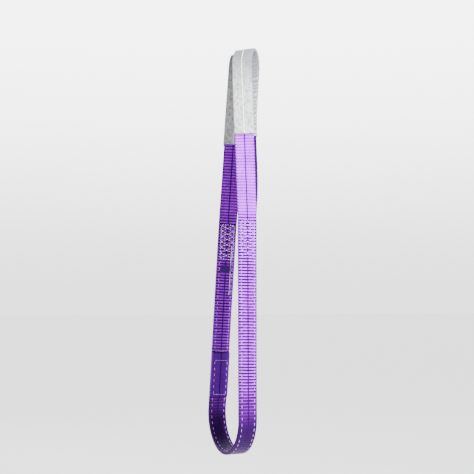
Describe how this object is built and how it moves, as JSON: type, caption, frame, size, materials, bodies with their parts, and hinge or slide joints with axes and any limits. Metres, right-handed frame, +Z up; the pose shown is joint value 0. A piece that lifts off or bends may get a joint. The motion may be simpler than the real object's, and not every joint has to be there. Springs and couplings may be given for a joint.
{
  "type": "flat web sling",
  "caption": "Duplex flat webbing lifting sling in a basket hitch, with two sleeved flat eyes over a hook point and a seat for a round load.",
  "frame": {"origin": "centre of the hook bow that both eyes hang on", "axes": "+Z up, from the load to the hook; X along the load's axis; +Y from the front leg to the rear leg"},
  "size_m": [0.0711, 0.1274, 0.6809],
  "materials": {
    "webbing": "ribbed violet polyester webbing",
    "sleeve_fabric": "light grey woven sleeve",
    "seam_thread": "white sewn seam",
    "stitch_thread": "pale violet thread",
    "tack_thread": "dense dark violet thread",
    "label_fabric": "plain blue coated label"
  },
  "bodies": {
    "hook_end": {"front_eye_webbing": "webbing", "rear_eye_webbing": "webbing", "front_eye_sleeve": "sleeve_fabric", "rear_eye_sleeve": "sleeve_fabric", "front_sleeve_seam": "seam_thread", "rear_sleeve_seam": "seam_thread"},
    "front_leg": {"front_leg_inner_ply": "webbing", "front_leg_outer_ply": "webbing", "front_leg_edge_stitches": "stitch_thread", "front_splice_stitches": "stitch_thread"},
    "load_bight": {"bight_inner_ply": "webbing", "bight_outer_ply": "webbing", "bight_edge_stitches": "stitch_thread"},
    "rear_leg": {"rear_leg_inner_ply": "webbing", "rear_leg_outer_ply": "webbing", "rear_leg_edge_stitches": "stitch_thread", "rear_splice_stitches": "stitch_thread", "webbing_lap_end": "webbing", "lap_stitches": "stitch_thread", "bar_tack": "tack_thread", "label_header": "label_fabric", "label_stitches": "stitch_thread"},
    "label": {"label_flap": "label_fabric"}
  },
  "joints": [
    {"name": "load_sway", "type": "hinge", "parent": "hook_end", "child": "front_leg", "pos_m": [-0.008, -0.03153, -0.26664], "axis": [1, 0, 0], "range_deg": [-8, 8]},
    {"name": "bight_swing", "type": "hinge", "parent": "front_leg", "child": "load_bight", "pos_m": [-0.018, -0.05316, -0.5839], "axis": [1, 0, 0], "range_deg": [-5.2, 5.2]},
    {"name": "rear_leg_swing", "type": "hinge", "parent": "load_bight", "child": "rear_leg", "pos_m": [-0.018, 0.06716, -0.5839], "axis": [1, 0, 0], "range_deg": [-5.2, 5.2]},
    {"name": "label_lift", "type": "hinge", "parent": "rear_leg", "child": "label", "pos_m": [-0.01059, 0.05541, -0.34836], "axis": [0.9995, 0.0021, -0.0314], "range_deg": [0, 110]}
  ],
  "couplings": [
    {"joint": "bight_swing", "follows": "load_sway", "ratio": -0.64},
    {"joint": "rear_leg_swing", "follows": "load_sway", "ratio": 0.641}
  ]
}
